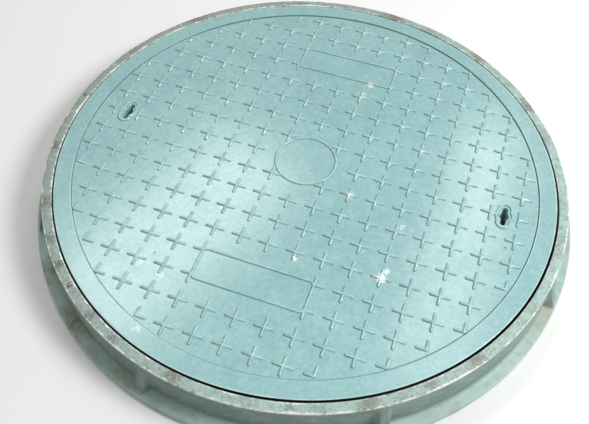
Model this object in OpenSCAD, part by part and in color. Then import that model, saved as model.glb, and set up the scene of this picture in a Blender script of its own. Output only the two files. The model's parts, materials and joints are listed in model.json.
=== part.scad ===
// Round composite manhole cover, seated in its frame and held by two key-operated locks.
// Origin: centre of the frame's underside. +Z is up, and X runs through the two keyholes.
// The cover is shown seated and unlocked, with the lock tongues clear of the seat ledge.

/* [Frame] */
// Height of the frame, level with the top of the cover
frame_h = 60; // [60:1:70]
// Outer diameter of the foot flange
foot_d = 770; // [768:1:800]
// Thickness of the foot flange
foot_t = 10; // [8:1:12]
// Outer diameter of the rim's top face
rim_d = 731; // [730:1:734]
// How much further out the wall stands at the foot than at the rim
wall_draft = 4; // [2:1:6]
// Inner diameter of the wall below the seat ledge
wall_low_d = 692; // [690:1:694]
// Diameter of the clear opening inside the seat ledge
clear_d = 650; // [648:1:654]
// Thickness of the seat ledge
ledge_t = 8; // [6:1:8]
// Number of gussets between the wall and the foot
gusset_n = 8; // [4:1:12]
// Thickness of one gusset
gusset_t = 12; // [8:1:14]
// Angle from +X to the first gusset
gusset_a = 32.75; // [22:0.25:45]
// Diameter of the steel wire of the embedded hoops
hoop_wire_d = 8; // [6:1:9]

/* [Cover] */
// Outer diameter of the cover
cover_d = 700; // [698:1:701]
// Gap between the cover and the frame's inner wall
cover_gap = 2.5; // [2:0.1:3]
// Depth of the cover's skirt, from the top face to its seat
cover_depth = 35; // [34:1:36]
// Thickness of the top plate, from the raised band to the underside
plate_t = 17; // [16:0.5:18]
// Wall thickness of the skirt
skirt_t = 12; // [10:1:14]
// Depth of the ribs under the plate
rib_depth = 15; // [10:1:15]
// Width of one rib
rib_w = 7; // [5:1:9]
// Diameters of the two ring ribs
ring_rib_d = [230, 450];
// Number of radial ribs, laid out so that none meets a lock
radial_rib_n = 8; // [4:4:8]
// Diameter of the centre boss
hub_d = 84; // [70:2:100]
// Thickness of the rubber seat ring
seal_t = 3; // [2:0.5:3]
// Diameter of the reinforcing bars in the plate
bar_d = 5; // [4:0.5:5]
// Diameter of the wire of the cover's edge ring
edge_wire_d = 8; // [6:1:8]

/* [Tread] */
// Diameter of the sunk field inside the plain band
field_d = 652; // [640:1:660]
// Height of the raised tread above the field
tread_h = 2; // [1:0.5:3]
// Distance between neighbouring crosses
pitch = 37.65; // [37:0.05:38]
// Length of a cross from tip to tip
cross_l = 26.8; // [24:0.2:28]
// Width of a raised line
line_w = 3.6; // [3:0.2:4.4]
// Diameter of the centre medallion, at the middle of its raised ring
medallion_d = 86; // [80:1:88]
// Length and width of a name panel, over its raised outline
panel = [153.6, 48.8];
// Distance from the centre of the cover to the centre of a panel
panel_y = 207.5; // [205:0.5:210]
// Corner radius of a panel
panel_r = 8.5; // [5:0.5:12]

/* [Keyholes and locks] */
// Distance from the centre of the cover to a keyhole
key_x = 282; // [280:0.5:282]
// Length of the keyhole slot
key_l = 30; // [28:0.5:31]
// Width of the keyhole slot
key_w = 7; // [6:0.5:8]
// Diameter of the lobe in the middle of the slot
key_lobe_d = 12; // [10:0.5:13]
// Diameter of the rotor's head
rotor_d = 40; // [38:0.5:42]
// Radial clearance of the rotor in its bush and housing
running_gap = 0.05; // [0.02:0.01:0.1]
// Distance from the lock's axis to the tip of the tongue
tongue_l = 56; // [52:1:58]
// Thickness of the tongue
tongue_t = 6; // [4:0.5:6]
// Diameter of the circle of housing screws
screw_pcd = 64; // [62:1:66]

/* [Hidden] */

teal = "#9fc9c8";
teal_dull = "#8fb0a8";
steel = "#8d8f91";
stainless = "#b9bcbe";
brass = "#c2a04a";
rubber = "#26282a";
acetal = "#e8e6df";

round_fn = 200;
small_fn = 48;
eps = 0.01;
cut = 1;
edge_c = 1;

cover_r = cover_d / 2;
foot_r = foot_d / 2;
rim_r = rim_d / 2;
clear_r = clear_d / 2;
wall_low_r = wall_low_d / 2;
seat_r = cover_r + cover_gap;
wall_foot_r = rim_r + wall_draft;
skirt_in_r = cover_r - skirt_t;

// Heights, from the top of the cover down to the ledge
field_z = frame_h - tread_h;
plate_z = frame_h - plate_t;
rib_z = plate_z - rib_depth;
skirt_z = frame_h - cover_depth;
ledge_top = skirt_z - seal_t;
ledge_z = ledge_top - ledge_t;

// Gussets start just under the rim, stop short of the foot's edge and are sunk into wall and foot
gusset_drop = 3;
gusset_nose = 1;
gusset_inset = 3;
gusset_heel = 2;
gusset_sunk = 6;

// Steel hoops in the middle of the frame's upper and lower wall
hoop_drop = 13;
hoop_shift = 0.5;

// Seat ring: how far it keeps from the clear opening and from the cover's outer edge
seal_inset = 3;
seal_outset = 0.5;
seal_c = 0.6;

// Underside of the cover
skirt_draft = 2;
rib_sunk = 2;

// Lock heights, built downwards from the underside of the plate
boss_r = 40;
boss_h = 12;
boss_z = plate_z - boss_h;
gasket_t = 1.5;
flange_t = 5;
flange_z = boss_z - gasket_t - flange_t;
head_gap = 0.4;
socket_depth = 12.5;
socket_gap = 1;
head_top = plate_z - head_gap;
web_t = 6;
web_top = flange_z - 0.5;
web_z = web_top - web_t;
housing_r = 25;
pocket_r = 25.4;
bush_r = 22.5;
rotor_r = rotor_d / 2;
shaft_r = 10;
square_w = 12;
thread_r = 5;
thread_out = 0.4;
tongue_gap = 1;
tongue_z = ledge_z - tongue_gap - tongue_t;
tongue_root_r = 14;
tongue_tip_r = 11;
square_gap = 0.2;
washer_t = 1.5;
washer_r = 11;
washer_gap = 0.25;
nut_t = 4.5;
nut_af = 17;
nut_gap = 0.05;
stem_z = tongue_z - washer_t - nut_t - thread_out;
o_ring_d = 1.8;
o_ring_z = web_z + web_t / 2;
o_ring_gap = 0.1;
screw_n = 4;
screw_r = 2.5;
screw_l = 15;
screw_hole_r = 2.75;
screw_head_r = 4.5;
screw_head_h = 3;
hex_r = 2.2;
hex_depth = 2;
insert_r = 3.5;
insert_l = 10;
insert_hole_l = 10.5;

// Reinforcement: bars keep clear of the keyholes, ends stop short of the edge ring
bar_spacing = 80;
bar_layer_z = plate_z + 4.5;
bar_layer_gap = 0.3;
bar_end_r = 325;
bars_y = [for (k = [-3.5 : 3.5]) k * bar_spacing];
bars_x = [for (k = [-3 : 3]) k * bar_spacing];
edge_ring_r = 334;
edge_ring_z = plate_z + 8;

// Tread layout
cross_max = 8;
medallion_clear = 50;
corner_cross_r = 312;
panel_rows = [5, 6];
key_outline_in = 3.3;
key_outline_out = 6.9;

// Side of a lock: +1 is lock a at +X, -1 is lock b at -X. Each is the other turned by 180 degrees.
module at_lock(side) {
    rotate([0, 0, side > 0 ? 0 : 180]) translate([key_x, 0, 0]) children();
}

module at_screws() {
    for (k = [0 : screw_n - 1])
        rotate([0, 0, 45 + k * 360 / screw_n]) translate([screw_pcd / 2, 0, 0]) children();
}

module tube(r_out, r_in, h) {
    difference() {
        cylinder(r = r_out, h = h, $fn = small_fn);
        translate([0, 0, -eps]) cylinder(r = r_in, h = h + 2 * eps, $fn = small_fn);
    }
}

module hoop(radius, wire_d, z) {
    translate([0, 0, z])
        rotate_extrude($fn = round_fn)
            translate([radius, 0]) circle(d = wire_d, $fn = small_fn);
}

// Outline of a keyhole, grown by g on every side
module key_shape(g) {
    w = key_w + 2 * g;
    square([w, key_l - key_w], center = true);
    for (s = [-1, 1]) translate([0, s * (key_l - key_w) / 2]) circle(d = w, $fn = small_fn);
    circle(d = key_lobe_d + 2 * g, $fn = small_fn);
}

module rounded_panel(size, r) {
    square([size[0] - 2 * r, size[1]], center = true);
    square([size[0], size[1] - 2 * r], center = true);
    for (x = [-1, 1], y = [-1, 1])
        translate([x * (size[0] / 2 - r), y * (size[1] / 2 - r)]) circle(r = r, $fn = small_fn);
}

// ---- Frame ----

module gusset() {
    top = frame_h - gusset_drop;
    tip = foot_r - gusset_inset;
    rotate([90, 0, 0])
        translate([0, 0, -gusset_t / 2])
            linear_extrude(gusset_t)
                polygon([
                    [rim_r - gusset_sunk, top],
                    [rim_r + gusset_nose, top],
                    [tip, foot_t + gusset_heel],
                    [tip, foot_t - gusset_heel],
                    [rim_r - gusset_sunk, foot_t - gusset_heel]
                ]);
}

module frame_ring() {
    c = edge_c;
    color(teal_dull) union() {
        rotate_extrude($fn = round_fn)
            polygon([
                [wall_low_r, 0], [foot_r - c, 0], [foot_r, c], [foot_r, foot_t - c], [foot_r - c, foot_t],
                [wall_foot_r, foot_t], [rim_r, frame_h - c], [rim_r - c, frame_h],
                [seat_r + c, frame_h], [seat_r, frame_h - c], [seat_r, ledge_top],
                [clear_r + c, ledge_top], [clear_r, ledge_top - c], [clear_r, ledge_z + c],
                [clear_r + c, ledge_z], [wall_low_r, ledge_z]
            ]);
        for (k = [0 : gusset_n - 1]) rotate([0, 0, gusset_a + k * 360 / gusset_n]) gusset();
    }
}

module hoop_upper() {
    color(steel) hoop((seat_r + rim_r) / 2 + hoop_shift, hoop_wire_d, frame_h - hoop_drop);
}

module hoop_lower() {
    color(steel) hoop((wall_low_r + wall_foot_r) / 2, hoop_wire_d, ledge_z / 2);
}

module seal_ring() {
    c = seal_c;
    inner = clear_r + seal_inset;
    outer = cover_r - seal_outset;
    color(rubber)
        rotate_extrude($fn = round_fn)
            polygon([
                [inner, ledge_top], [outer, ledge_top],
                [outer, skirt_z - c], [outer - c, skirt_z],
                [inner + c, skirt_z], [inner, skirt_z - c]
            ]);
}

// ---- Cover ----

// Points of one cross with the arms [east, north, west, south] that are set
function cross_points(arms) =
    let (h = line_w / 2, l = cross_l / 2)
    [for (k = [0 : 3])
        let (d = [cos(90 * k), sin(90 * k)], n = [-d[1], d[0]])
        each concat(
            arms[k] ? [d * l - n * h, d * l + n * h] : [],
            [d * h + n * h]
        )];

// A cross is left out in the medallion and in the panels, and loses the arms that would cross
// a panel or a keyhole. Near the edge of the field only its two inward arms are left. The cross
// beside the left keyhole stops short of that keyhole's outline.
function is_shown(i, j) =
    let (r = pitch * norm([i, j]))
    r > medallion_clear && r < field_d / 2
    && !(abs(i) < 2 && len(search(abs(j), panel_rows)) > 0);

function cross_arms(i, j) =
    let (
        at_corner = pitch * norm([i, j]) > corner_cross_r,
        by_panel = abs(i) == 2 && len(search(abs(j), panel_rows)) > 0,
        by_key = abs(i) == cross_max && j == 0,
        no_inner = by_panel || by_key,
        to_panel = by_panel ? sign(j) * (abs(j) == panel_rows[0] ? 1 : -1) : 0
    )
    [
        !(at_corner && i > 0) && !(no_inner && i < 0),
        !(at_corner && j > 0) && to_panel <= 0,
        !(at_corner && i < 0) && !(no_inner && i > 0) && !(i == 1 - cross_max && j == 0),
        !(at_corner && j < 0) && to_panel >= 0
    ];

module crosses() {
    for (i = [-cross_max : cross_max], j = [-cross_max : cross_max])
        if (is_shown(i, j)) translate([i, j] * pitch) polygon(cross_points(cross_arms(i, j)));
}

module ring_line(radius) {
    difference() {
        circle(r = radius + line_w / 2, $fn = round_fn);
        circle(r = radius - line_w / 2, $fn = round_fn);
    }
}

module panel_line() {
    difference() {
        rounded_panel(panel, panel_r);
        rounded_panel(panel - [2, 2] * line_w, panel_r - line_w);
    }
}

module key_line() {
    difference() {
        key_shape(key_outline_out);
        key_shape(key_outline_in);
    }
}

module tread() {
    difference() {
        crosses();
        for (x = [-1, 1]) translate([x * key_x, 0]) key_shape(key_outline_in);
    }
    ring_line(medallion_d / 2);
    for (y = [-1, 1]) translate([0, y * panel_y]) panel_line();
    for (x = [-1, 1]) translate([x * key_x, 0]) key_line();
}

module plate_and_skirt() {
    c = edge_c;
    rotate_extrude($fn = round_fn)
        polygon([
            [0, plate_z], [skirt_in_r - skirt_draft, plate_z], [skirt_in_r, skirt_z],
            [cover_r - c, skirt_z], [cover_r, skirt_z + c], [cover_r, frame_h - c],
            [cover_r - c, frame_h], [0, frame_h]
        ]);
}

module ring_rib(d) {
    translate([0, 0, rib_z])
        difference() {
            cylinder(d = d + rib_w, h = rib_depth + eps, $fn = round_fn);
            translate([0, 0, -eps]) cylinder(d = d - rib_w, h = rib_depth + 3 * eps, $fn = round_fn);
        }
}

module ribs() {
    translate([0, 0, rib_z]) cylinder(d = hub_d, h = rib_depth + eps, $fn = small_fn);
    for (d = ring_rib_d) ring_rib(d);
    for (k = [0 : radial_rib_n - 1])
        rotate([0, 0, (k + 0.5) * 360 / radial_rib_n])
            translate([hub_d / 2 - rib_sunk, -rib_w / 2, rib_z])
                cube([skirt_in_r - hub_d / 2 + 2 * rib_sunk, rib_w, rib_depth + eps]);
}

module cover_plate() {
    color(teal) difference() {
        union() {
            plate_and_skirt();
            ribs();
            for (side = [-1, 1]) at_lock(side) translate([0, 0, boss_z])
                cylinder(r = boss_r, h = boss_h + eps, $fn = small_fn);
        }
        translate([0, 0, field_z])
            linear_extrude(tread_h + cut)
                difference() {
                    circle(d = field_d, $fn = round_fn);
                    tread();
                }
        for (side = [-1, 1]) at_lock(side) {
            translate([0, 0, plate_z - cut]) linear_extrude(plate_t + 2 * cut) key_shape(0);
            translate([0, 0, boss_z - cut]) cylinder(r = pocket_r, h = boss_h + cut, $fn = small_fn);
            at_screws() translate([0, 0, boss_z - cut])
                cylinder(r = insert_r, h = insert_hole_l + cut, $fn = small_fn);
        }
    }
}

module cover_edge_ring() {
    color(steel) hoop(edge_ring_r, edge_wire_d, edge_ring_z);
}

module bar(half_l) {
    rotate([0, 90, 0]) cylinder(d = bar_d, h = 2 * half_l, center = true, $fn = small_fn);
}

module bars_lengthwise() {
    color(steel)
        for (y = bars_y) translate([0, y, bar_layer_z]) bar(sqrt(pow(bar_end_r, 2) - pow(y, 2)));
}

module bars_crosswise() {
    color(steel)
        for (x = bars_x)
            translate([x, 0, bar_layer_z + bar_d + bar_layer_gap])
                rotate([0, 0, 90]) bar(sqrt(pow(bar_end_r, 2) - pow(x, 2)));
}

// ---- Lock ----

module lock_inserts() {
    color(brass)
        for (side = [-1, 1]) at_lock(side) at_screws()
            translate([0, 0, boss_z]) tube(insert_r, screw_r, insert_l);
}

module screw() {
    difference() {
        union() {
            translate([0, 0, flange_z - screw_head_h])
                cylinder(r = screw_head_r, h = screw_head_h, $fn = small_fn);
            translate([0, 0, flange_z - eps]) cylinder(r = screw_r, h = screw_l, $fn = small_fn);
        }
        translate([0, 0, flange_z - screw_head_h - eps]) cylinder(r = hex_r, h = hex_depth, $fn = 6);
    }
}

module lock_screws() {
    color(stainless) for (side = [-1, 1]) at_lock(side) at_screws() screw();
}

module gasket(side) {
    color(rubber)
        at_lock(side) difference() {
            translate([0, 0, boss_z - gasket_t]) tube(boss_r, pocket_r, gasket_t);
            at_screws() translate([0, 0, boss_z - gasket_t - cut])
                cylinder(r = screw_hole_r, h = gasket_t + 2 * cut, $fn = small_fn);
        }
}

module housing(side) {
    barrel_h = head_top - web_z;
    color(stainless)
        at_lock(side) difference() {
            union() {
                translate([0, 0, web_z]) cylinder(r = housing_r, h = barrel_h, $fn = small_fn);
                translate([0, 0, flange_z]) cylinder(r = boss_r, h = flange_t, $fn = small_fn);
            }
            translate([0, 0, web_top]) cylinder(r = bush_r, h = barrel_h, $fn = small_fn);
            translate([0, 0, web_z - cut])
                cylinder(r = shaft_r + running_gap, h = web_t + 2 * cut, $fn = small_fn);
            at_screws() translate([0, 0, flange_z - cut])
                cylinder(r = screw_hole_r, h = flange_t + 2 * cut, $fn = small_fn);
        }
}

module bush(side) {
    color(acetal)
        at_lock(side) translate([0, 0, web_top]) tube(bush_r, rotor_r + running_gap, head_top - web_top);
}

// Slot in the rotor for the blade of the key
module socket_slot() {
    slot_w = key_w + socket_gap;
    slot_l = key_l + socket_gap;
    square([slot_w, slot_l - slot_w], center = true);
    for (s = [-1, 1]) translate([0, s * (slot_l - slot_w) / 2]) circle(d = slot_w, $fn = small_fn);
}

// The socket is a cross, so that the key comes out both locked and unlocked
module rotor(side) {
    color(stainless)
        at_lock(side) difference() {
            union() {
                translate([0, 0, web_top]) cylinder(r = rotor_r, h = head_top - web_top, $fn = small_fn);
                translate([0, 0, tongue_z + tongue_t])
                    cylinder(r = shaft_r, h = web_top - tongue_z - tongue_t + cut, $fn = small_fn);
                translate([-square_w / 2, -square_w / 2, tongue_z])
                    cube([square_w, square_w, tongue_t + cut]);
                translate([0, 0, stem_z])
                    cylinder(r = thread_r, h = tongue_z - stem_z + cut, $fn = small_fn);
            }
            for (a = [0, 90])
                translate([0, 0, head_top - socket_depth]) rotate([0, 0, a])
                    linear_extrude(socket_depth + cut) socket_slot();
            translate([0, 0, o_ring_z - o_ring_d / 2 - o_ring_gap])
                tube(shaft_r + cut, shaft_r - o_ring_d, o_ring_d + 2 * o_ring_gap);
        }
}

module o_ring(side) {
    color(rubber)
        at_lock(side) translate([0, 0, o_ring_z])
            rotate_extrude($fn = 60) translate([shaft_r - o_ring_d / 2, 0]) circle(d = o_ring_d, $fn = 24);
}

module tongue(side) {
    reach = tongue_l - tongue_tip_r;
    color(stainless)
        at_lock(side) rotate([0, 0, -90]) translate([0, 0, tongue_z])
            linear_extrude(tongue_t)
                difference() {
                    union() {
                        circle(r = tongue_root_r, $fn = small_fn);
                        translate([0, -tongue_tip_r]) square([reach, 2 * tongue_tip_r]);
                        translate([reach, 0]) circle(r = tongue_tip_r, $fn = small_fn);
                    }
                    square(square_w + square_gap, center = true);
                }
}

module washer(side) {
    color(stainless)
        at_lock(side) translate([0, 0, tongue_z - washer_t])
            tube(washer_r, thread_r + washer_gap, washer_t);
}

module nut(side) {
    color(stainless)
        at_lock(side) translate([0, 0, tongue_z - washer_t - nut_t])
            difference() {
                cylinder(d = nut_af / cos(30), h = nut_t, $fn = 6);
                translate([0, 0, -cut])
                    cylinder(r = thread_r + nut_gap, h = nut_t + 2 * cut, $fn = small_fn);
            }
}

frame_ring();
hoop_upper();
hoop_lower();
seal_ring();
cover_plate();
cover_edge_ring();
bars_lengthwise();
bars_crosswise();
lock_inserts();
lock_screws();
gasket(1);  // lock_a_gasket
housing(1);  // lock_a_housing
bush(1);  // lock_a_bush
rotor(1);  // lock_a_rotor
o_ring(1);  // lock_a_o_ring
tongue(1);  // lock_a_tongue
washer(1);  // lock_a_washer
nut(1);  // lock_a_nut
gasket(-1);  // lock_b_gasket
housing(-1);  // lock_b_housing
bush(-1);  // lock_b_bush
rotor(-1);  // lock_b_rotor
o_ring(-1);  // lock_b_o_ring
tongue(-1);  // lock_b_tongue
washer(-1);  // lock_b_washer
nut(-1);  // lock_b_nut
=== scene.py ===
import json
import math

import bmesh
import bpy
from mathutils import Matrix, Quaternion, Vector

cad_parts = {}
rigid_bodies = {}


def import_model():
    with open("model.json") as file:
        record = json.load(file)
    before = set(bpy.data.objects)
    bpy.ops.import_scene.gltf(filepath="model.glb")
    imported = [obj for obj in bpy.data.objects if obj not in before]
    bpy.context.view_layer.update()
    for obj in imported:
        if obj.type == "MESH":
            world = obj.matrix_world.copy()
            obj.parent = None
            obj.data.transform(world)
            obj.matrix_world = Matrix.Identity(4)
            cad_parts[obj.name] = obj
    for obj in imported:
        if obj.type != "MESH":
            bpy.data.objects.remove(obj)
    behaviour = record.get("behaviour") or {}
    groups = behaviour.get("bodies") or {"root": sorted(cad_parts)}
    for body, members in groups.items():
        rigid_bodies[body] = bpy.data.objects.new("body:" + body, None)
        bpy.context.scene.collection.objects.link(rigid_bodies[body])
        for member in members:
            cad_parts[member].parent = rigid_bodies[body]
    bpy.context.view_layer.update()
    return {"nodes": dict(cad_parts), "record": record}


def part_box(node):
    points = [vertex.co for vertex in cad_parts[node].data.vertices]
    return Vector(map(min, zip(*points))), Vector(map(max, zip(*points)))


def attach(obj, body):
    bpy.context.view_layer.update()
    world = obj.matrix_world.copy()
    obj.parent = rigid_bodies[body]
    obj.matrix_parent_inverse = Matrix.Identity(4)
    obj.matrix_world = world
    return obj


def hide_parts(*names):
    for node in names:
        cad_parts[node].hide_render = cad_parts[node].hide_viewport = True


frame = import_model()
print("frame loaded:", len(frame["nodes"]), "nodes")

coverLow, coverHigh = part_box("cover_plate")
frameLow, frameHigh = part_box("frame_ring")
sealLow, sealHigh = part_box("seal_ring")
lockLow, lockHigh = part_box("lock_a_housing")
topHeight = coverHigh.z
lockOffset = (lockLow.x + lockHigh.x) / 2
fieldLevel, fieldEdge = topHeight - 0.002, 0.3260  # the tread field lies this high, out to this radius


# Tools for modelling

def deselectAll():
    if bpy.context.mode != "OBJECT":
        bpy.ops.object.mode_set(mode="OBJECT")
    bpy.ops.object.select_all(action="DESELECT")


def activate(piece):
    deselectAll()
    piece.select_set(True)
    bpy.context.view_layer.objects.active = piece


def pick(piece, kind, test):  # selects only the verts, edges or faces that pass the test
    bpy.ops.mesh.select_mode(type={"verts": "VERT", "edges": "EDGE", "faces": "FACE"}[kind])
    bpy.ops.mesh.select_all(action="DESELECT")
    mesh = bmesh.from_edit_mesh(piece.data)
    for part in getattr(mesh, kind):
        if test(part):
            part.select_set(True)
    bmesh.update_edit_mesh(piece.data)


def roundCorners(corners, steps=4):  # each corner is (x, y) or (x, y, radius of its rounding)
    outline = []
    for k, corner in enumerate(corners):
        here = Vector(corner[:2])
        radius = corner[2] if len(corner) > 2 else 0
        if not radius:
            outline.append(here)
            continue
        back = (Vector(corners[k - 1][:2]) - here).normalized()
        ahead = (Vector(corners[(k + 1) % len(corners)][:2]) - here).normalized()
        half = back.angle(ahead) / 2
        centre = here + (back + ahead).normalized() * radius / math.sin(half)
        start = here + back * radius / math.tan(half) - centre
        end = here + ahead * radius / math.tan(half) - centre
        first = math.atan2(start.y, start.x)
        turn = (math.atan2(end.y, end.x) - first + math.pi) % math.tau - math.pi
        for step in range(steps + 1):
            angle = first + turn * step / steps
            outline.append(centre + radius * Vector((math.cos(angle), math.sin(angle))))
    return outline


def drawOutline(name, points):  # a closed line, left open in edit mode
    deselectAll()
    bpy.ops.mesh.primitive_plane_add(size=0.001)
    piece = bpy.context.object
    piece.name = name
    bpy.ops.object.mode_set(mode="EDIT")
    bpy.ops.mesh.select_mode(type="VERT")
    bpy.ops.mesh.select_all(action="SELECT")
    bpy.ops.mesh.merge(type="CENTER")
    bpy.ops.transform.translate(value=points[0])
    for here, there in zip(points, points[1:]):
        step = Vector(there) - Vector(here)
        bpy.ops.mesh.extrude_region_move(TRANSFORM_OT_translate={"value": step})
    pick(piece, "verts", lambda vert: len(vert.link_edges) < 2)
    bpy.ops.mesh.edge_face_add()
    bpy.ops.mesh.select_all(action="SELECT")
    return piece


def finishMesh(piece, angle=35):
    bpy.ops.mesh.select_all(action="SELECT")
    bpy.ops.mesh.remove_doubles(threshold=0.000001)
    bpy.ops.mesh.normals_make_consistent(inside=False)
    bpy.ops.object.mode_set(mode="OBJECT")
    activate(piece)
    bpy.ops.object.transform_apply(location=True, rotation=True, scale=True)
    bpy.ops.object.shade_smooth_by_angle(angle=math.radians(angle))
    return piece


def spinOutline(name, outline, steps):
    piece = drawOutline(name, [(radius, 0, height) for radius, height in outline])
    bpy.ops.mesh.spin(steps=steps, angle=math.tau, center=(0, 0, 0), axis=(0, 0, 1))
    return finishMesh(piece)


def combine(target, tool, operation):
    activate(target)
    bpy.ops.object.modifier_add(type="BOOLEAN")
    modifier = target.modifiers[-1]
    modifier.operation = operation
    modifier.object = tool
    modifier.solver = "EXACT"
    bpy.ops.object.modifier_apply(modifier=modifier.name)
    bpy.data.objects.remove(tool)


def copyTo(piece, place):
    twin = piece.copy()
    twin.data = piece.data.copy()
    bpy.context.scene.collection.objects.link(twin)
    twin.location = place
    return twin


def joinAll(name, pieces, angle=35):
    activate(pieces[0])
    for piece in pieces:
        piece.select_set(True)
    bpy.ops.object.join()
    whole = bpy.context.object
    whole.name = name
    bpy.ops.object.transform_apply(location=True, rotation=True, scale=True)
    bpy.ops.object.shade_smooth_by_angle(angle=math.radians(angle))
    return whole


def roundBar(name, size, rounding, test):  # a block with its picked edges rounded
    deselectAll()
    bpy.ops.mesh.primitive_cube_add(size=1, scale=size)
    piece = bpy.context.object
    piece.name = name
    bpy.ops.object.transform_apply(location=True, rotation=True, scale=True)
    bpy.ops.object.mode_set(mode="EDIT")
    pick(piece, "edges", test)
    bpy.ops.mesh.bevel(offset=rounding, segments=2, affect="EDGES")
    return finishMesh(piece)


def drum(name, radius, low, high, place=(0, 0), rounding=0, sides=64):
    deselectAll()
    middle = (place[0], place[1], (low + high) / 2)
    bpy.ops.mesh.primitive_cylinder_add(vertices=sides, radius=radius, depth=high - low, location=middle)
    piece = bpy.context.object
    piece.name = name
    bpy.ops.object.transform_apply(location=True, rotation=True, scale=True)
    bpy.ops.object.mode_set(mode="EDIT")
    if rounding:
        pick(piece, "edges", lambda edge: abs(edge.verts[0].co.z - edge.verts[1].co.z) < 0.0001)
        bpy.ops.mesh.bevel(offset=rounding, segments=3, affect="EDGES")
    return finishMesh(piece)


# Materials

def hexColour(code):  # an sRGB hex value as the linear colour that Blender works in
    channels = [int(code[k:k + 2], 16) / 255 for k in (0, 2, 4)]
    return (*[c / 12.92 if c < 0.04045 else ((c + 0.055) / 1.055) ** 2.4 for c in channels], 1)


def perMetre(millimetres):  # noise scale for features of that size
    return 1000 / millimetres


def addNode(tree, kind, inputs, **settings):
    node = tree.nodes.new("ShaderNode" + kind)
    for name, value in settings.items():
        setattr(node, name, value)
    for name, value in inputs.items():
        if isinstance(value, bpy.types.NodeSocket):
            tree.links.new(value, node.inputs[name])
        else:
            node.inputs[name].default_value = value
    return node


def startMaterial(name, metallic=0.0):
    material = bpy.data.materials.new(name)
    material.use_nodes = True
    tree = material.node_tree
    shader = tree.nodes["Principled BSDF"]
    shader.inputs["IOR"].default_value = 1.5  # near that of polyester, rubber and acetal alike
    shader.inputs["Metallic"].default_value = metallic
    place = addNode(tree, "TexCoord", {}).outputs["Object"]
    return material, tree, shader, place


# Lays a colour over where every span is reached. A span is (value, where it starts, where it is full, most).
def addShare(tree, colour, code, *spans):
    share = None
    for value, start, full, *most in spans:
        reached = addNode(tree, "MapRange", {"Value": value, "From Min": start, "From Max": full,
                                             "To Max": most[0] if most else 1}).outputs["Result"]
        share = reached if share is None else addNode(tree, "Math", {0: share, 1: reached},
                                                      operation="MULTIPLY").outputs["Value"]
    return addNode(tree, "Mix", {0: share, 6: colour, 7: hexColour(code)}, data_type="RGBA").outputs[2]


def addLayers(tree, place, colour, layers):  # each is (size in mm, start, full, colour, most)
    noises = {}
    for size, start, full, code, most in layers:
        if size not in noises:
            noises[size] = addNode(tree, "TexNoise", {"Vector": place, "Scale": perMetre(size), "Detail": 5,
                                                      "Roughness": 0.65}).outputs["Fac"]
        colour = addShare(tree, colour, code, (noises[size], start, full, most))
    return colour


spotShape = {"jitterSize": 9, "jitter": 0.009, "rim": -0.2, "detail": 4, "roughness": 0.7}


# Broken spots that thin out from their middle. A mark is (x, y, z, size, colour, strength, weight).
def addMarks(tree, place, colour, marks, grain, start, full):
    jitter, scale = spotShape["jitter"], perMetre(spotShape["jitterSize"])
    shift = addNode(tree, "TexNoise", {"Vector": place, "Scale": scale, "Detail": 3})
    shifted = addNode(tree, "VectorMath", {0: shift.outputs["Color"], 1: (jitter, jitter, 0), 2: place},
                      operation="MULTIPLY_ADD")
    broken = addNode(tree, "TexNoise", {"Vector": place, "Scale": perMetre(grain),
                                        "Detail": spotShape["detail"], "Roughness": spotShape["roughness"]})
    middle = jitter / 2
    for x, y, height, size, code, strength, weight in marks:
        spot = (x + middle, y + middle, height)
        far = addNode(tree, "VectorMath", {0: shifted.outputs["Vector"], 1: spot}, operation="DISTANCE")
        near = addNode(tree, "MapRange", {"Value": far.outputs["Value"], "From Min": size, "From Max": 0,
                                          "To Min": spotShape["rim"], "To Max": weight}, clamp=False)
        value = addNode(tree, "Math", {0: near.outputs["Result"], 1: broken.outputs["Fac"]},
                        operation="ADD").outputs["Value"]
        mask = addNode(tree, "MapRange", {"Value": value, "From Min": start, "From Max": full,
                                          "To Max": strength}, interpolation_type="SMOOTHSTEP")
        colour = addNode(tree, "Mix", {0: mask.outputs["Result"], 6: colour, 7: hexColour(code)},
                         data_type="RGBA").outputs[2]
    return colour


gapShadePaint = {"towards": (0.707, -0.707, 0), "reach": 0.28, "most": 0.92, "depth": (0.0007, 0.0012)}


def addGapShadeSide(tree, place):  # painted shade: weights the lower-right side, where the gap is painted darker and wider
    towards = addNode(tree, "VectorMath", {0: place, 1: gapShadePaint["towards"]}, operation="DOT_PRODUCT")
    return addNode(tree, "MapRange", {"Value": towards.outputs["Value"], "From Max": gapShadePaint["reach"],
                                      "To Max": gapShadePaint["most"]}).outputs["Result"]


# Painted shade in the gap on one side, reaching higher, onto the rounded edges, the more that side is
# weighted
def addGapShade(tree, colour, code, gapShadeWeight, height, drop, across):
    deep = addNode(tree, "Math", {0: gapShadeWeight, 1: -drop, 2: height}, operation="MULTIPLY_ADD").outputs["Value"]
    shallow, full = (topHeight - depth for depth in gapShadePaint["depth"])
    return addShare(tree, colour, code, across, (gapShadeWeight, 0, 1), (deep, shallow, full))


def addRadius(tree, place):
    flat = addNode(tree, "VectorMath", {0: place, 1: (1, 1, 0)}, operation="MULTIPLY")
    return addNode(tree, "VectorMath", {0: flat.outputs["Vector"]}, operation="LENGTH").outputs["Value"]


def addDistance(tree, value, middle):  # how far a value is from a middle one
    away = addNode(tree, "Math", {0: value, 1: middle}, operation="SUBTRACT")
    return addNode(tree, "Math", {0: away.outputs["Value"]}, operation="ABSOLUTE").outputs["Value"]


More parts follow.
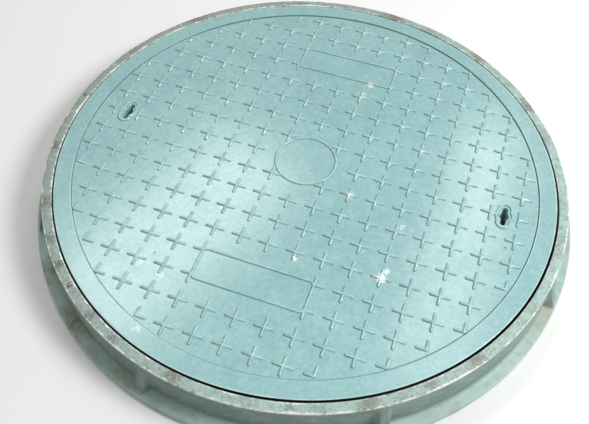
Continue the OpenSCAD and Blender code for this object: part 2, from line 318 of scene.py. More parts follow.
# Joins colour, uneven gloss and fine relief to the shader
def addSkin(tree, shader, colour, rub, grain, finish):
    tree.links.new(colour, shader.inputs["Base Color"])
    (start, full), (low, high) = finish["rubSpan"], finish["roughness"]
    gloss = addNode(tree, "MapRange", {"Value": rub, "From Min": start, "From Max": full, "To Min": low,
                                       "To Max": high})
    tree.links.new(gloss.outputs["Result"], shader.inputs["Roughness"])
    strength, distance = finish["relief"]
    bump = addNode(tree, "Bump", {"Height": grain, "Strength": strength, "Distance": distance})
    tree.links.new(bump.outputs["Normal"], shader.inputs["Normal"])


polyester = {
    "base": "9bc5c5", "paleWearAndHighlight": "dcf8f6", "soilAndShade": "3f5a5a", "gap": "1d2726",
    "layers": (
        (140, 0.45, 0.62, "92bcbd", 0.8), (30, 0.50, 0.66, "a4cccc", 0.6), (12, 0.50, 0.70, "abd3d2", 0.5),
        (5, 0.47, 0.32, "87b1b2", 0.6), (5, 0.55, 0.72, "b0d6d6", 0.6),
        (2.8, 0.64, 0.72, "d2ebea", 0.5), (2.8, 0.36, 0.28, "6f9899", 0.5),
    ),
    # Painted shade: the far half is darkened a little for the weaker light there: which half, how much, and
    # how far the change reaches
    "farShadeSide": (0.15, 1, 0), "farShade": 0.13, "farShadeReach": 0.34,
    # Soil and painted shade at the foot of what is raised: heights over the field where it starts and thins
    # out
    "footRise": (0.00003, 0.0001), "footFade": (0.0011, 0.0004), "footSoilAndShade": 0.2,
    # Painted shade along the field's step: distances from the step where the dark line starts and where it is
    # full, and its strength
    "stepLine": (0.0010, 0.0005), "stepShade": 0.6,
    # Feet rub the crests pale, and the pale crests also serve as a painted highlight: depths under the top,
    # distances inside the field's edge, patchiness
    "crestDepth": (0.0008, 0.0002), "crestStart": (0.0005, 0.0015), "crestPatches": (0.38, 0.66),
    "crestWearAndHighlight": 0.4,
    # The cover's outer edge is painted pale with a ragged inner border, as wear and as a painted highlight on
    # its rounding, and painted shade darkens the gap beside it
    "edgeRagged": 0.0022, "edgeReach": (-0.0008, 0.0004), "edgeDepth": (0.0010, 0.0006), "edgeWearAndHighlight": 0.85,
    "gapReach": (0.0009, 0.0003), "gapDrop": 0.0009,
    # Size in mm of the patches of gloss, the noise they span, the gloss itself, and the dimples of the skin
    "rubSize": 16, "rubSpan": (0.35, 0.65), "roughness": (0.14, 0.19),
    "grainSize": 1.1, "relief": (0.2, 0.0001),
    "markGrain": (2.6, 0.56, 0.68),
    "marks": (
        (0.045, 0.182, 0.060, 0.015, "f6e3dc", 0.9, 0.26),
        (0.040, 0.157, 0.058, 0.013, "efdfd8", 0.8, 0.2),
        (0.150, -0.150, 0.058, 0.014, "f4fffe", 0.95, 0.36),
        (0.155, -0.138, 0.060, 0.011, "f4fffe", 0.9, 0.3),
        (0.157, -0.065, 0.060, 0.010, "e4f6f4", 0.8, 0.26),
        (0.077, -0.038, 0.060, 0.015, "f2f6f2", 0.8, 0.2),
        (0.041, -0.160, 0.060, 0.008, "f4fffd", 0.9, 0.34),
        (-0.082, 0.076, 0.059, 0.005, "776a55", 0.9, 0.35),
        (-0.150, -0.014, 0.058, 0.004, "2c4646", 0.9, 0.45),
        (-0.132, -0.214, 0.058, 0.0035, "37504f", 0.9, 0.45),
        (-0.146, -0.228, 0.058, 0.022, "b4eff4", 0.65, 0.2),
        (-0.112, -0.240, 0.058, 0.013, "d6f6f8", 0.7, 0.24),
        (-0.102, -0.317, 0.060, 0.016, "e2f6f2", 0.7, 0.2),
        (0.118, -0.120, 0.060, 0.007, "dff4f2", 0.7, 0.2),
        (-0.236, -0.120, 0.059, 0.006, "6d8d88", 0.7, 0.3),
        (0.290, -0.050, 0.058, 0.0028, "53706e", 0.8, 0.45),
    ),
}


def mouldedPolyester(name):
    # Compression-moulded glass-filled polyester: satin, faintly cloudy, with a fine dimpled skin
    material, tree, shader, place = startMaterial(name)
    height = addNode(tree, "SeparateXYZ", {"Vector": place}).outputs["Z"]
    radius = addRadius(tree, place)
    colour = addLayers(tree, place, hexColour(polyester["base"]), polyester["layers"])
    # painted shade: the cover grows a little darker towards its far side
    towardsFar = addNode(tree, "VectorMath", {0: place, 1: polyester["farShadeSide"]}, operation="DOT_PRODUCT")
    reach = polyester["farShadeReach"]
    colour = addShare(tree, colour, "000000", (towardsFar.outputs["Value"], -reach, reach, polyester["farShade"]))
    colour = addMarks(tree, place, colour, polyester["marks"], *polyester["markGrain"])
    soilAndShade, paleWearAndHighlight = polyester["soilAndShade"], polyester["paleWearAndHighlight"]
    rise, fade = ([fieldLevel + level for level in polyester[key]] for key in ("footRise", "footFade"))
    # soil and painted shade at the foot of the raised lines
    colour = addShare(tree, colour, soilAndShade, (height, *rise), (height, *fade, polyester["footSoilAndShade"]))
    # painted shade: a dark line along the field's step
    step = addDistance(tree, radius, fieldEdge)
    colour = addShare(tree, colour, soilAndShade, (step, *polyester["stepLine"], polyester["stepShade"]))
    rub = addNode(tree, "TexNoise", {"Vector": place, "Scale": perMetre(polyester["rubSize"]), "Detail": 4,
                                     "Roughness": 0.7}).outputs["Fac"]
    # crests rubbed pale, which also stand as a painted highlight
    crest = (height, *[topHeight - depth for depth in polyester["crestDepth"]])
    inside = (radius, *[fieldEdge - reach for reach in polyester["crestStart"]])
    patchy = (rub, *polyester["crestPatches"], polyester["crestWearAndHighlight"])
    colour = addShare(tree, colour, paleWearAndHighlight, crest, inside, patchy)
    # the outer edge painted pale, as wear and as a painted highlight on its rounding
    edge = addNode(tree, "Math", {0: rub, 1: polyester["edgeRagged"], 2: radius}, operation="MULTIPLY_ADD")
    outer = [coverHigh.x + reach for reach in polyester["edgeReach"]]
    upper = [topHeight - depth for depth in polyester["edgeDepth"]]
    edge = (edge.outputs["Value"], *outer, polyester["edgeWearAndHighlight"])
    colour = addShare(tree, colour, paleWearAndHighlight, edge, (height, *upper))
    # painted shade in the gap beside the cover's edge, on the lower-right side only, reaching onto the
    # rounding there
    side = (radius, *[coverHigh.x - reach for reach in polyester["gapReach"]])
    gapShadeWeight = addGapShadeSide(tree, place)
    colour = addGapShade(tree, colour, polyester["gap"], gapShadeWeight, height, polyester["gapDrop"], side)
    dimples = perMetre(polyester["grainSize"])
    grain = addNode(tree, "TexNoise", {"Vector": place, "Scale": dimples, "Detail": 3}).outputs["Fac"]
    addSkin(tree, shader, colour, rub, grain, polyester)
    return material


def aroundRing(radius, height, weight, spots):  # spots: angle, size, colour, strength
    marks = []
    for angle, size, code, strength in spots:
        turn = math.radians(angle)
        marks.append((radius * math.cos(turn), radius * math.sin(turn), height, size, code, strength, weight))
    return marks


weathered = {
    "clean": "a9c7c0", "dirty": "8d9d94", "wall": "556b65", "flange": "adc9c1",
    "cream": "f1f4ea", "gap": "222a28",
    "cleanSide": -20, "cleanReach": (-0.1, 0.45), "broadSize": 60, "broadShare": 0.4,
    # Dirt and painted shade on the wall, darkest on its near-left side where shade falls: which way it lies,
    # how far it reaches, and how strong it is
    "wallShadeSide": (-0.5, -0.86, 0), "wallShadeReach": (-0.3, 0.2), "wallDirtAndShade": (0.45, 0.8),
    # Heights over which the wall, the flange, the speckled rim and its worn top begin
    "wallSpan": (0.0585, 0.056), "flangeSpan": (0.016, 0.010), "rimSpan": (0.0560, 0.0585),
    "topSpan": (0.0572, 0.0588),
    # Pale scuffs along both edges of the rim, and pale lines where sections of the mould met
    "scuffRagged": (0.012, 0.006), "scuffReach": (0.0143, 0.0155, 0.9),
    "seams": 16, "firstSeam": 9.5, "seamRagged": 0.045, "seamReach": (0.0275, 0.020, 0.45),
    "gapRagged": 0.0007, "gapReach": (0.0005, 0.0002), "gapDrop": 0.0010,
    "rubSize": 8, "rubSpan": (0.35, 0.65), "roughness": (0.42, 0.62), "relief": (0.4, 0.0008),
    "layers": (
        (45, 0.46, 0.62, "94a49b", 0.5), (9, 0.52, 0.70, "84918a", 0.5), (9, 0.44, 0.30, "b4cfc7", 0.4),
        (2.4, 0.62, 0.72, "6b716a", 0.35),
    ),
    "rimLayers": (
        (14, 0.50, 0.66, "7d857b", 0.4), (3.6, 0.53, 0.68, "666a60", 0.6), (2.0, 0.58, 0.68, "54574f", 0.6),
        (2.0, 0.42, 0.32, "dde6dc", 0.4),
    ),
    "markGrain": (3.4, 0.46, 0.66), "stainGrain": (14, 0.36, 0.96),
    "marks": aroundRing(0.359, 0.060, 0.23, (
        (229, 0.020, "66604f", 0.85), (264, 0.024, "767059", 0.8), (300, 0.028, "7d7861", 0.75),
        (322, 0.030, "848069", 0.72), (250, 0.013, "737160", 0.7), (212, 0.020, "726d5d", 0.75),
        (196, 0.013, "605d51", 0.75), (160, 0.030, "827c69", 0.75), (140, 0.036, "7a7361", 0.8),
        (110, 0.026, "817b67", 0.65), (84, 0.042, "797260", 0.8), (58, 0.032, "807966", 0.8),
        (38, 0.036, "797360", 0.8), (312, 0.016, "7d7a62", 0.6), (286, 0.014, "757561", 0.6),
        (222, 0.015, "605d51", 0.65), (243, 0.013, "5f5e52", 0.65)))
    + aroundRing(0.359, 0.060, 0.4, ((234.5, 0.006, "332f2a", 0.95), (179, 0.004, "3c3a34", 0.9))),
    "stains": aroundRing(0.377, 0.010, 0.35, (
        (238, 0.050, "6f6850", 0.85), (224, 0.034, "7c7762", 0.8), (254, 0.030, "93846a", 0.6),
        (288, 0.034, "93896f", 0.6), (345, 0.036, "b3a58d", 0.6), (5, 0.036, "a89c86", 0.6),
        (205, 0.030, "8a8c78", 0.6))),
}


def weatheredPolyester(name):
    # The same moulding left out in a yard: a dull film on the wall, darkened further on its near-left side as
    # painted shade, scuffed pale edges, soil stains, and painted shade in the gap
    material, tree, shader, place = startMaterial(name)
    split = addNode(tree, "SeparateXYZ", {"Vector": place})
    height = split.outputs["Z"]
    radius = addRadius(tree, place)
    side = math.radians(weathered["cleanSide"])
    towards = addNode(tree, "VectorMath", {0: place, 1: (math.cos(side), math.sin(side), 0)},
                      operation="DOT_PRODUCT").outputs["Value"]
    rub = addNode(tree, "TexNoise", {"Vector": place, "Scale": perMetre(weathered["rubSize"]), "Detail": 6,
                                     "Roughness": 0.75}).outputs["Fac"]
    broad = addNode(tree, "TexNoise", {"Vector": place, "Scale": perMetre(weathered["broadSize"]),
                                       "Detail": 3}).outputs["Fac"]
    clean = addNode(tree, "Math", {0: broad, 1: weathered["broadShare"], 2: towards},
                    operation="MULTIPLY_ADD")
    colour = addShare(tree, hexColour(weathered["dirty"]), weathered["clean"],
                      (clean.outputs["Value"], *weathered["cleanReach"]))
    # dirt and painted shade: the wall is darkest on its near-left side, where shade falls
    wallShadeShare = addNode(tree, "VectorMath", {0: place, 1: weathered["wallShadeSide"]}, operation="DOT_PRODUCT")
    (start, full), (low, high) = weathered["wallShadeReach"], weathered["wallDirtAndShade"]
    wallShadeShare = addNode(tree, "MapRange", {"Value": wallShadeShare.outputs["Value"], "From Min": start, "From Max": full,
                                       "To Min": low, "To Max": high}).outputs["Result"]
    colour = addShare(tree, colour, weathered["wall"], (height, *weathered["wallSpan"]), (wallShadeShare, 0, 1))
    colour = addShare(tree, colour, weathered["flange"], (height, *weathered["flangeSpan"]))
    colour = addLayers(tree, place, colour, weathered["layers"])
    colour = addMarks(tree, place, colour, weathered["marks"], *weathered["markGrain"])
    speckled = addLayers(tree, place, colour, weathered["rimLayers"])
    start, full = weathered["rimSpan"]
    onRim = addNode(tree, "MapRange", {"Value": height, "From Min": start, "From Max": full})
    colour = addNode(tree, "Mix", {0: onRim.outputs["Result"], 6: colour, 7: speckled},
                     data_type="RGBA").outputs[2]
    colour = addMarks(tree, place, colour, weathered["stains"], *weathered["stainGrain"])
    top = (height, *weathered["topSpan"])
    scuffed = addDistance(tree, radius, (ringFrame["rim"] + ringFrame["seat"]) / 2)
    for noise, ragged in zip((rub, broad), weathered["scuffRagged"]):
        scuffed = addNode(tree, "Math", {0: noise, 1: ragged, 2: scuffed},
                          operation="MULTIPLY_ADD").outputs["Value"]
    colour = addShare(tree, colour, weathered["cream"], (scuffed, *weathered["scuffReach"]), top)
    angle = addNode(tree, "Math", {0: split.outputs["Y"], 1: split.outputs["X"]}, operation="ARCTAN2")
    turns = addNode(tree, "Math", {0: angle.outputs["Value"], 1: weathered["seams"] / math.tau,
                                   2: 0.5 - weathered["firstSeam"] * weathered["seams"] / 360},
                    operation="MULTIPLY_ADD")
    share = addNode(tree, "Math", {0: turns.outputs["Value"]}, operation="FRACT").outputs["Value"]
    seam = addNode(tree, "Math", {0: rub, 1: weathered["seamRagged"], 2: addDistance(tree, share, 0.5)},
                   operation="MULTIPLY_ADD").outputs["Value"]
    colour = addShare(tree, colour, weathered["cream"], (seam, *weathered["seamReach"]), top)
    # painted shade in the gap on the frame's inner wall, on the lower-right side only
    gapShadeWeight = addGapShadeSide(tree, place)
    inner = addNode(tree, "Math", {0: gapShadeWeight, 1: -weathered["gapRagged"], 2: radius},
                    operation="MULTIPLY_ADD").outputs["Value"]
    inward = (inner, *[ringFrame["seat"] + reach for reach in weathered["gapReach"]])
    colour = addGapShade(tree, colour, weathered["gap"], gapShadeWeight, height, weathered["gapDrop"], inward)
    addSkin(tree, shader, colour, rub, rub, weathered)
    return material


plainSpecs = {  # finishes with one base colour: colour, second colour, metallic, roughness, grain size in mm
    "seal_rubber": ("26282a", "34373a", 0.0, 0.75, 1.5),  # moulded EPDM: matt black, faintly greyed
    "reinforcing_steel": ("7d7f82", "6b5a4c", 1.0, 0.5, 4.0),  # drawn steel: dull grey with rust spots
    "stainless": ("c3c5c6", "a9acae", 1.0, 0.32, 0.6),  # turned and pressed: a bright satin
    "brass": ("cdaa55", "b08f40", 1.0, 0.3, 0.8),  # turned: warm and bright, with darker patches
    "acetal": ("e6e3da", "d8d4c8", 0.0, 0.4, 1.2),  # machined: milky white with a soft gloss
}


def plainFinish(name):
    first, second, metallic, roughness, grainSize = plainSpecs[name]
    material, tree, shader, place = startMaterial(name, metallic=metallic)
    grain = addNode(tree, "TexNoise", {"Vector": place, "Scale": perMetre(grainSize), "Detail": 4})
    grain = grain.outputs["Fac"]
    colour = addShare(tree, hexColour(first), second, (grain, 0, 1))
    finish = {"rubSpan": (0, 1), "roughness": (roughness - 0.06, roughness + 0.08), "relief": (0.2, 0.0001)}
    addSkin(tree, shader, colour, grain, grain, finish)
    return material


def paint(piece, material):
    if not piece.material_slots:
        piece.data.materials.append(material)
    for slot in piece.material_slots:
        slot.material = material


coverMaterial = mouldedPolyester("moulded_polyester")
plain = {name: plainFinish(name) for name in plainSpecs}
print("materials made")


# Cover

cover = {
    "steps": 384, "stepRounding": 0.0007, "stepSlope": 0.0006, "edgeRounding": 0.0010,
    "hold": 0.002,  # a loop this far from a rounding keeps the flat beside it flat
    "skirtBottom": 0.025, "skirtInner": 0.338, "skirtDraft": 0.002, "skirtRounding": 0.001,
    "plateUnder": 0.043, "plateRounding": 0.003, "hubRadius": 0.042,
    "ribDepth": 0.015, "ribWidth": 0.007, "ringRibs": (0.115, 0.225), "ribCount": 8,
    "ribRounding": 0.0012, "rootRounding": 0.002, "ribInHub": 0.004, "ribInSkirt": 0.0005,
    "ribStagger": 0.0002,  # straight ribs this much deeper than ring ribs, so that no two faces coincide
    "bossRadius": 0.040, "bossBottom": 0.031, "bossRounding": 0.001, "pocketRadius": 0.0254,
    "insertRadius": 0.0035, "insertCircle": 0.032, "insertDepth": 0.0105, "inserts": 4, "overlap": 0.001,
}
ribBottom = cover["plateUnder"] - cover["ribDepth"]


def spokes():  # the straight ribs, which start inside the hub and end inside the skirt, and the two bosses
    top, low = cover["plateUnder"] + cover["overlap"], ribBottom - cover["ribStagger"]
    inside, outside = cover["hubRadius"] - cover["ribInHub"], cover["skirtInner"] - cover["ribInSkirt"]
    size, middle = (outside - inside, cover["ribWidth"], top - low), (inside + outside) / 2
    pieces = []
    for k in range(cover["ribCount"]):
        rib = roundBar("rib", size, cover["ribRounding"],
                       lambda edge: all(vert.co.z < 0 for vert in edge.verts))
        angle = math.tau * (k + 0.5) / cover["ribCount"]
        rib.location = (middle * math.cos(angle), middle * math.sin(angle), (top + low) / 2)
        rib.rotation_euler.z = angle
        pieces.append(rib)
    for side in (1, -1):
        pieces.append(drum("boss", cover["bossRadius"], cover["bossBottom"], top, (side * lockOffset, 0),
                           cover["bossRounding"]))
    return joinAll("spokes", pieces)


def makeCover():
    edge, under, half = coverHigh.x, cover["plateUnder"], cover["ribWidth"] / 2
    rounding, root, hold = cover["ribRounding"], cover["rootRounding"], cover["hold"]
    slope = fieldEdge + cover["stepSlope"]
    corners = [(0, ribBottom), (cover["hubRadius"], ribBottom, rounding), (cover["hubRadius"], under, root)]
    for radius in cover["ringRibs"]:
        corners += [(radius - half, under, root), (radius - half, ribBottom, rounding),
                    (radius + half, ribBottom, rounding), (radius + half, under, root)]
    corners += [
        (cover["skirtInner"] - cover["skirtDraft"], under, cover["plateRounding"]),
        (cover["skirtInner"], cover["skirtBottom"], cover["skirtRounding"]),
        (edge, cover["skirtBottom"], cover["skirtRounding"]),
        (edge, topHeight - hold),
        (edge, topHeight, cover["edgeRounding"]),
        (edge - hold, topHeight),
        (slope + hold, topHeight),
        (slope, topHeight, cover["stepRounding"]),
        (fieldEdge, fieldLevel, cover["stepRounding"]),
        (fieldEdge - hold, fieldLevel),
        (fieldEdge / 2, fieldLevel),
        (0, fieldLevel),
    ]
    piece = spinOutline("cover_moulding", roundCorners(corners, 3), cover["steps"])
    combine(piece, spokes(), "UNION")
    return piece


coverPiece = makeCover()
print("cover body:", len(coverPiece.data.polygons), "faces")


keyhole = {"halfWidth": 0.0035, "halfLength": 0.0115, "lobe": 0.006, "lip": 0.0009, "lipDepth": 0.0009,
           "depth": 0.02, "outline": 0.0069, "arcSteps": 12, "clear": 0.002, "holeSides": 24}


def keyOutline(grow, height, centre):  # a slot with round ends and a round lobe in its middle
    width, lobe = keyhole["halfWidth"] + grow, keyhole["lobe"] + grow
    meet = math.acos(width / lobe)
    arcs = [((0, 0), lobe, -meet, meet), ((0, 1), width, 0, math.pi),
            ((0, 0), lobe, math.pi - meet, math.pi + meet), ((0, -1), width, math.pi, math.tau)]
    points = []
    for middle, radius, first, last in arcs:
        for step in range(keyhole["arcSteps"] + 1):
            angle = first + (last - first) * step / keyhole["arcSteps"]
            points.append((centre + radius * math.cos(angle),
                           middle[1] * keyhole["halfLength"] + radius * math.sin(angle), height))
    return points


def cutKeyholes(piece):
    slots, pockets = [], []
    for side in (1, -1):
        slot = drawOutline("keyhole_cutter", keyOutline(keyhole["lip"], topHeight, side * lockOffset))
        bpy.ops.mesh.edge_face_add()
        down = topHeight - fieldLevel
        bpy.ops.mesh.extrude_region_move(TRANSFORM_OT_translate={"value": (0, 0, -down)})
        bpy.ops.mesh.inset(thickness=keyhole["lip"], depth=0)
        bpy.ops.transform.translate(value=(0, 0, -keyhole["lipDepth"]))
        bpy.ops.mesh.extrude_region_move(TRANSFORM_OT_translate={"value": (0, 0, -keyhole["depth"])})
        slots.append(finishMesh(slot))
        below = cover["bossBottom"] - keyhole["clear"]
        centre = side * lockOffset
        pockets.append(drum("pocket", cover["pocketRadius"], below, cover["plateUnder"], (centre, 0)))
        for k in range(cover["inserts"]):
            angle = math.tau * (k + 0.5) / cover["inserts"]
            spot = (centre + cover["insertCircle"] * math.cos(angle), cover["insertCircle"] * math.sin(angle))
            pockets.append(drum("insert_hole", cover["insertRadius"], below,
                                cover["bossBottom"] + cover["insertDepth"], spot, sides=keyhole["holeSides"]))
    combine(piece, joinAll("slots", slots), "DIFFERENCE")
    combine(piece, joinAll("pockets", pockets), "DIFFERENCE")


cutKeyholes(coverPiece)
activate(coverPiece)
bpy.ops.object.shade_smooth_by_angle(angle=math.radians(32))  # so that the slots' arrises stay crisp
print("keyholes cut:", len(coverPiece.data.polygons), "faces")


# Raised tread

tread = {
    "pitch": 0.03765, "length": 0.0268, "halfWidth": 0.0027, "tipRounding": 0.0016,
    "most": 8, "medallionClear": 0.050, "cornerRadius": 0.312, "panelRows": (5, 6), "panelColumns": 2,
    "northless": (5, -6), "sunk": 0.0005, "smoothing": 75,
    "steps": ((0.0009, 0.0012), (0.0005, 0.0008), (0.0008, 0.0005)),  # inset and rise of each step
    "medallion": 0.043, "panelSize": (0.1536, 0.0488), "panelCorner": 0.0085, "panelOffset": 0.2075,
    "lineWidth": 0.0052, "lineGrow": 0.0008, "side": 0.0001,
}


def raiseLine(piece):  # gives the selected faces the rounded section of a raised line
    bpy.ops.mesh.select_mode(type="FACE")
    bpy.ops.mesh.extrude_region_move(TRANSFORM_OT_translate={"value": (0, 0, tread["side"])})
    for thickness, height in tread["steps"]:
        bpy.ops.mesh.inset(thickness=thickness, depth=0)
        bpy.ops.transform.translate(value=(0, 0, height))
    bpy.ops.mesh.select_all(action="SELECT")
    bpy.ops.transform.translate(value=(0, 0, -tread["side"]))  # so that the crest is level with the rim
    return finishMesh(piece, tread["smoothing"])


def makeCross(arms):  # arms: which of east, north, west and south are there
    half, reach = tread["halfWidth"], tread["length"] / 2 + tread["lineGrow"]
    corners = []
    for k, shown in enumerate(arms):
        way = Vector((round(math.cos(k * math.pi / 2)), round(math.sin(k * math.pi / 2))))
        across = Vector((-way.y, way.x))
        if shown:
            for tip in (way * reach - across * half, way * reach + across * half):
                corners.append((tip.x, tip.y, tread["tipRounding"]))
        inner = (way + across) * half
        corners.append((inner.x, inner.y))
    level = fieldLevel - tread["sunk"]
    piece = drawOutline("cross", [(point.x, point.y, level) for point in roundCorners(corners, 1)])
    bpy.ops.mesh.edge_face_add()
    return raiseLine(piece)


def isShown(i, j):
    distance = tread["pitch"] * math.hypot(i, j)
    inPanel = abs(i) < tread["panelColumns"] and abs(j) in tread["panelRows"]
    return tread["medallionClear"] < distance < fieldEdge and not inPanel


def armsAt(i, j):  # near the edge of the field only the two inward arms are left
    atEdge = tread["pitch"] * math.hypot(i, j) > tread["cornerRadius"]
    byPanel = abs(i) == tread["panelColumns"] and abs(j) in tread["panelRows"]
    noInner = byPanel or (abs(i) == tread["most"] and j == 0)
    east = not (atEdge and i > 0) and not (noInner and i < 0)
    west = not (atEdge and i < 0) and not (noInner and i > 0) and not (i == 1 - tread["most"] and j == 0)
    north = not (atEdge and j > 0) and not (byPanel and j in tread["northless"])
    south = not (atEdge and j < 0) and not (byPanel and -j in tread["northless"])
    return east, north, west, south


def makeCrosses():
    patterns = {}
    crosses = []
    span = range(-tread["most"], tread["most"] + 1)
    for i, j in [(i, j) for i in span for j in span if isShown(i, j)]:
        arms = armsAt(i, j)
        if arms not in patterns:
            patterns[arms] = makeCross(arms)
        crosses.append(copyTo(patterns[arms], (i * tread["pitch"], j * tread["pitch"], 0)))
    for pattern in patterns.values():
        bpy.data.objects.remove(pattern)
    print("crosses:", len(crosses))
    return joinAll("tread_crosses", crosses, tread["smoothing"])


def outlineBand(name, points):
    piece = drawOutline(name, points)
    bpy.ops.mesh.edge_face_add()
    bpy.ops.mesh.select_mode(type="FACE")
    bpy.ops.mesh.inset(thickness=tread["lineWidth"], depth=0)
    bpy.ops.mesh.delete(type="FACE")
    bpy.ops.mesh.select_all(action="SELECT")
    return raiseLine(piece)


def makeMedallion():
    reach = tread["halfWidth"]
    height = fieldLevel - tread["sunk"]
    points = [(reach, height)]
    for inset, rise in tread["steps"]:
        reach -= inset
        height += rise
        points.append((reach, height))
    section = points + [(-x, z) for x, z in reversed(points)]
    outline = [(tread["medallion"] + x, z) for x, z in section]
    return spinOutline("medallion_ring", outline, 128)


def makePanels():
    width, height = (size / 2 + tread["lineGrow"] for size in tread["panelSize"])
    corner = tread["panelCorner"] + tread["lineGrow"]
    frames = []
    for side in (1, -1):
        y = side * tread["panelOffset"]
        corners = [(-width, y - height, corner), (width, y - height, corner),
                   (width, y + height, corner), (-width, y + height, corner)]
        level = fieldLevel - tread["sunk"]
        points = [(point.x, point.y, level) for point in roundCorners(corners, 8)]
        frames.append(outlineBand("panel_outline", points))
    return joinAll("panel_outlines", frames, tread["smoothing"])


def makeKeyOutlines():
    rims = []
    for side in (1, -1):
        grow = keyhole["outline"] + tread["lineGrow"]
        points = keyOutline(grow, fieldLevel - tread["sunk"], side * lockOffset)
        rims.append(outlineBand("key_outline", points))
    return joinAll("keyhole_outlines", rims, tread["smoothing"])


treadPieces = [makeCrosses(), makeMedallion(), makePanels(), makeKeyOutlines()]
for piece in [coverPiece] + treadPieces:
    paint(piece, coverMaterial)
    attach(piece, "cover")
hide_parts("cover_plate")
print("tread made")


# Frame

ringFrame = {
    "wallLow": 0.346, "clear": 0.325, "ledgeLow": 0.014, "ledgeTop": 0.022, "seat": 0.3525, "rim": 0.3655,
    "wallFoot": 0.3695, "flange": 0.010, "steps": 1440,
    "inside": 0.0001,  # keeps the foot's edge just within its space
    "footRounding": 0.001, "flangeRounding": 0.0018, "wallRounding": 0.006, "rimRounding": 0.0013,
    "seatRounding": 0.0008, "ledgeRounding": 0.001, "cornerRounding": 0.002,
    "wallStart": 0.009, "wallStep": 0.0045, "wallLoops": 9,
    "gussetAngle": 32.75, "gussetCount": 8, "gussetTop": 0.0575, "gussetFoot": 0.012, "gussetReach": 0.382,
    "crest": (0.0038, 0.0062), "flank": 0.0055,
}


def gussetSwell(point):  # how far out a point of the wall moves where a gusset grows from it
    radius = point.xy.length
    top, low = ringFrame["gussetTop"], ringFrame["gussetFoot"]
    share = min(1, max(0, (top - point.z) / (top - low)))
    ridge = ringFrame["rim"] + (ringFrame["gussetReach"] - ringFrame["rim"]) * share
    spacing = 360 / ringFrame["gussetCount"]
    away = (math.degrees(math.atan2(point.y, point.x)) - ringFrame["gussetAngle"] + spacing / 2) % spacing
    offset = abs(math.radians(away - spacing / 2)) * radius
    crest = ringFrame["crest"][0] + (ringFrame["crest"][1] - ringFrame["crest"][0]) * share
    fall = min(1, max(0, (offset - crest) / ringFrame["flank"]))
    return max(0, ridge - radius) * (1 - fall * fall * (3 - 2 * fall))


def makeFrame():
    edge = frameHigh.x - ringFrame["inside"]
    rim, foot, flange = ringFrame["rim"], ringFrame["wallFoot"], ringFrame["flange"]
    start, step = flange + ringFrame["wallStart"], ringFrame["wallStep"]
    wallLevels = [start + step * k for k in range(ringFrame["wallLoops"])]
    wall = [(foot - (foot - rim) * (z - flange) / (topHeight - flange), z) for z in wallLevels]
    low, high = ringFrame["ledgeLow"], ringFrame["ledgeTop"]
    outline = roundCorners([
        (ringFrame["wallLow"], 0), (edge, 0, ringFrame["footRounding"]),
        (edge, flange, ringFrame["flangeRounding"]), (foot, flange, ringFrame["wallRounding"]), *wall,
        (rim, topHeight, ringFrame["rimRounding"]),
        (ringFrame["seat"], topHeight, ringFrame["seatRounding"]),
        (ringFrame["seat"], high, ringFrame["seatRounding"]),
        (ringFrame["clear"], high, ringFrame["ledgeRounding"]),
        (ringFrame["clear"], low, ringFrame["ledgeRounding"]),
        (ringFrame["wallLow"], low, ringFrame["cornerRounding"]),
    ], 3)
    piece = spinOutline("frame_moulding", outline, ringFrame["steps"])
    for vert in piece.data.vertices:  # the gussets swell smoothly out of the wall
        if vert.co.xy.length > rim - 0.002 and flange - 0.0001 < vert.co.z < ringFrame["gussetTop"]:
            vert.co.xy += vert.co.xy.normalized() * gussetSwell(vert.co)
    activate(piece)
    bpy.ops.object.shade_smooth_by_angle(angle=math.radians(40))
    return piece


framePiece = makeFrame()
paint(framePiece, weatheredPolyester("weathered_polyester"))
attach(framePiece, "frame")
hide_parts("frame_ring")
print("frame made:", len(framePiece.data.polygons), "faces")


# Seat ring and hardware

seatRing = {"inner": 0.328, "rounding": (0.0004, 0.0006), "grooves": 3, "grooveDepth": 0.0008,
            "grooveTop": 0.0012, "grooveFloor": 0.0006, "steps": 256}


def makeSeatRing():
    inner, outer = seatRing["inner"], sealHigh.x
    low, high = sealLow.z, sealHigh.z
    small, large = seatRing["rounding"]
    floor, top, half = high - seatRing["grooveDepth"], seatRing["grooveTop"], seatRing["grooveFloor"]
    corners = [(inner, low, small), (outer, low, small), (outer, high, large)]
    pitch = (outer - inner) / (seatRing["grooves"] + 1)
    for k in range(seatRing["grooves"]):
        middle = outer - pitch * (k + 1)
        corners += [(middle + top, high), (middle + half, floor),
                    (middle - half, floor), (middle - top, high)]
    corners.append((inner, high, large))
    return spinOutline("seat_ring", roundCorners(corners, 2), seatRing["steps"])


seatPiece = makeSeatRing()
paint(seatPiece, plain["seal_rubber"])
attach(seatPiece, "seal_ring")
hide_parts("seal_ring")

slotOf = {part["node"]: part["material_slot"] for part in frame["record"]["subparts"]}
for name, node in frame["nodes"].items():
    if not node.hide_render:
        paint(node, plain[slotOf[name]])
print("hardware painted")


# Studio

camera = {"near": 0.01, "azimuth": 18.11, "elevation": 53.95, "roll": 1.72, "distance": 0.87384,
          "target": (0.01525, -0.09224, 0.060), "lens": 39.88, "sensor": 36}


def addCamera():
    azimuth, elevation = math.radians(camera["azimuth"]), math.radians(camera["elevation"])
    back = Vector((math.sin(azimuth) * math.cos(elevation), -math.cos(azimuth) * math.cos(elevation),
                   math.sin(elevation)))
    bpy.ops.object.camera_add(location=Vector(camera["target"]) + back * camera["distance"])
    view = bpy.context.object
    view.rotation_mode = "QUATERNION"
    view.rotation_quaternion = (back.to_track_quat("Z", "Y")
                                @ Quaternion((0, 0, 1), math.radians(camera["roll"])))
    view.data.lens = camera["lens"]
    view.data.sensor_width = camera["sensor"]
    view.data.clip_start = camera["near"]
    bpy.context.scene.camera = view


lights = {  # place, what it faces, size and power in watts
    "key": ((1.83, 0.16, 1.90), (0, 0, 0.06), 0.8, 50),
    "fill": ((-0.05, -0.30, 1.4), (-0.05, -0.3, 0.06), 1.3, 1.0),
}
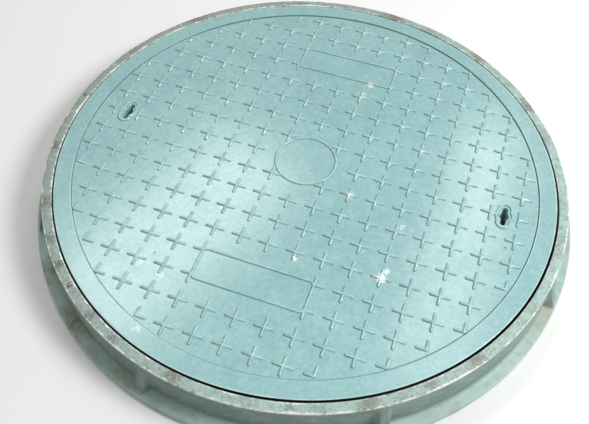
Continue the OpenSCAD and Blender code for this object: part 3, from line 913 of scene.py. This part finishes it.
# Where each sky panel is mirrored on the cover: spot, length, width, turn in degrees, power in watts
sheens = {
    "leftSheen": ((-0.126, -0.176), 0.36, 0.150, 68, 58),
    "rightSheen": ((0.242, 0.045), 0.070, 0.23, 0, 18),
    "rightLowSheen": ((0.232, -0.170), 0.090, 0.20, 0, 14),
}
studio = {"panelHeight": 4.0, "sky": 0.30, "floorSize": 12, "floorDrop": 0.0003, "floorColour": "f0f0ee",
          "floorRoughness": 0.8}


def addPanel(name, place, facing, width, height, power):
    bpy.ops.object.light_add(type="AREA", location=place)
    lamp = bpy.context.object
    lamp.name = name
    lamp.data.shape = "RECTANGLE"
    lamp.data.size, lamp.data.size_y = width, height
    lamp.data.energy = power
    lamp.rotation_euler = facing.to_euler()


def addLights():
    for name, (place, aim, size, power) in lights.items():
        facing = (Vector(place) - Vector(aim)).to_track_quat("Z", "Y")
        addPanel(name, place, facing, size, size, power)
    eye = bpy.context.scene.camera.location
    growth = (studio["panelHeight"] + eye.z - topHeight) / (eye.z - topHeight)
    for name, (spot, length, width, turn, power) in sheens.items():
        spot = Vector((*spot, topHeight))
        place = spot + (spot - eye) * (growth - 1)
        place.z = topHeight + studio["panelHeight"]
        facing = Quaternion((0, 0, 1), math.radians(turn))
        addPanel(name, place, facing, length * growth, width * growth, power)
    world = bpy.data.worlds.new("studio")
    bpy.context.scene.world = world
    world.use_nodes = True
    sky = world.node_tree.nodes["Background"]
    sky.inputs["Color"].default_value = (1, 1, 1, 1)
    sky.inputs["Strength"].default_value = studio["sky"]


def addFloor():
    deselectAll()
    level = frameLow.z - studio["floorDrop"]
    bpy.ops.mesh.primitive_plane_add(size=studio["floorSize"], location=(0, 0, level))
    floor = bpy.context.object
    floor.name = "studio_floor"
    material, _, shader, _ = startMaterial("pale_floor")
    shader.inputs["Base Color"].default_value = hexColour(studio["floorColour"])
    shader.inputs["Roughness"].default_value = studio["floorRoughness"]
    paint(floor, material)


addCamera()
addLights()
addFloor()
bpy.context.scene.view_settings.view_transform = "Standard"
print("studio ready")
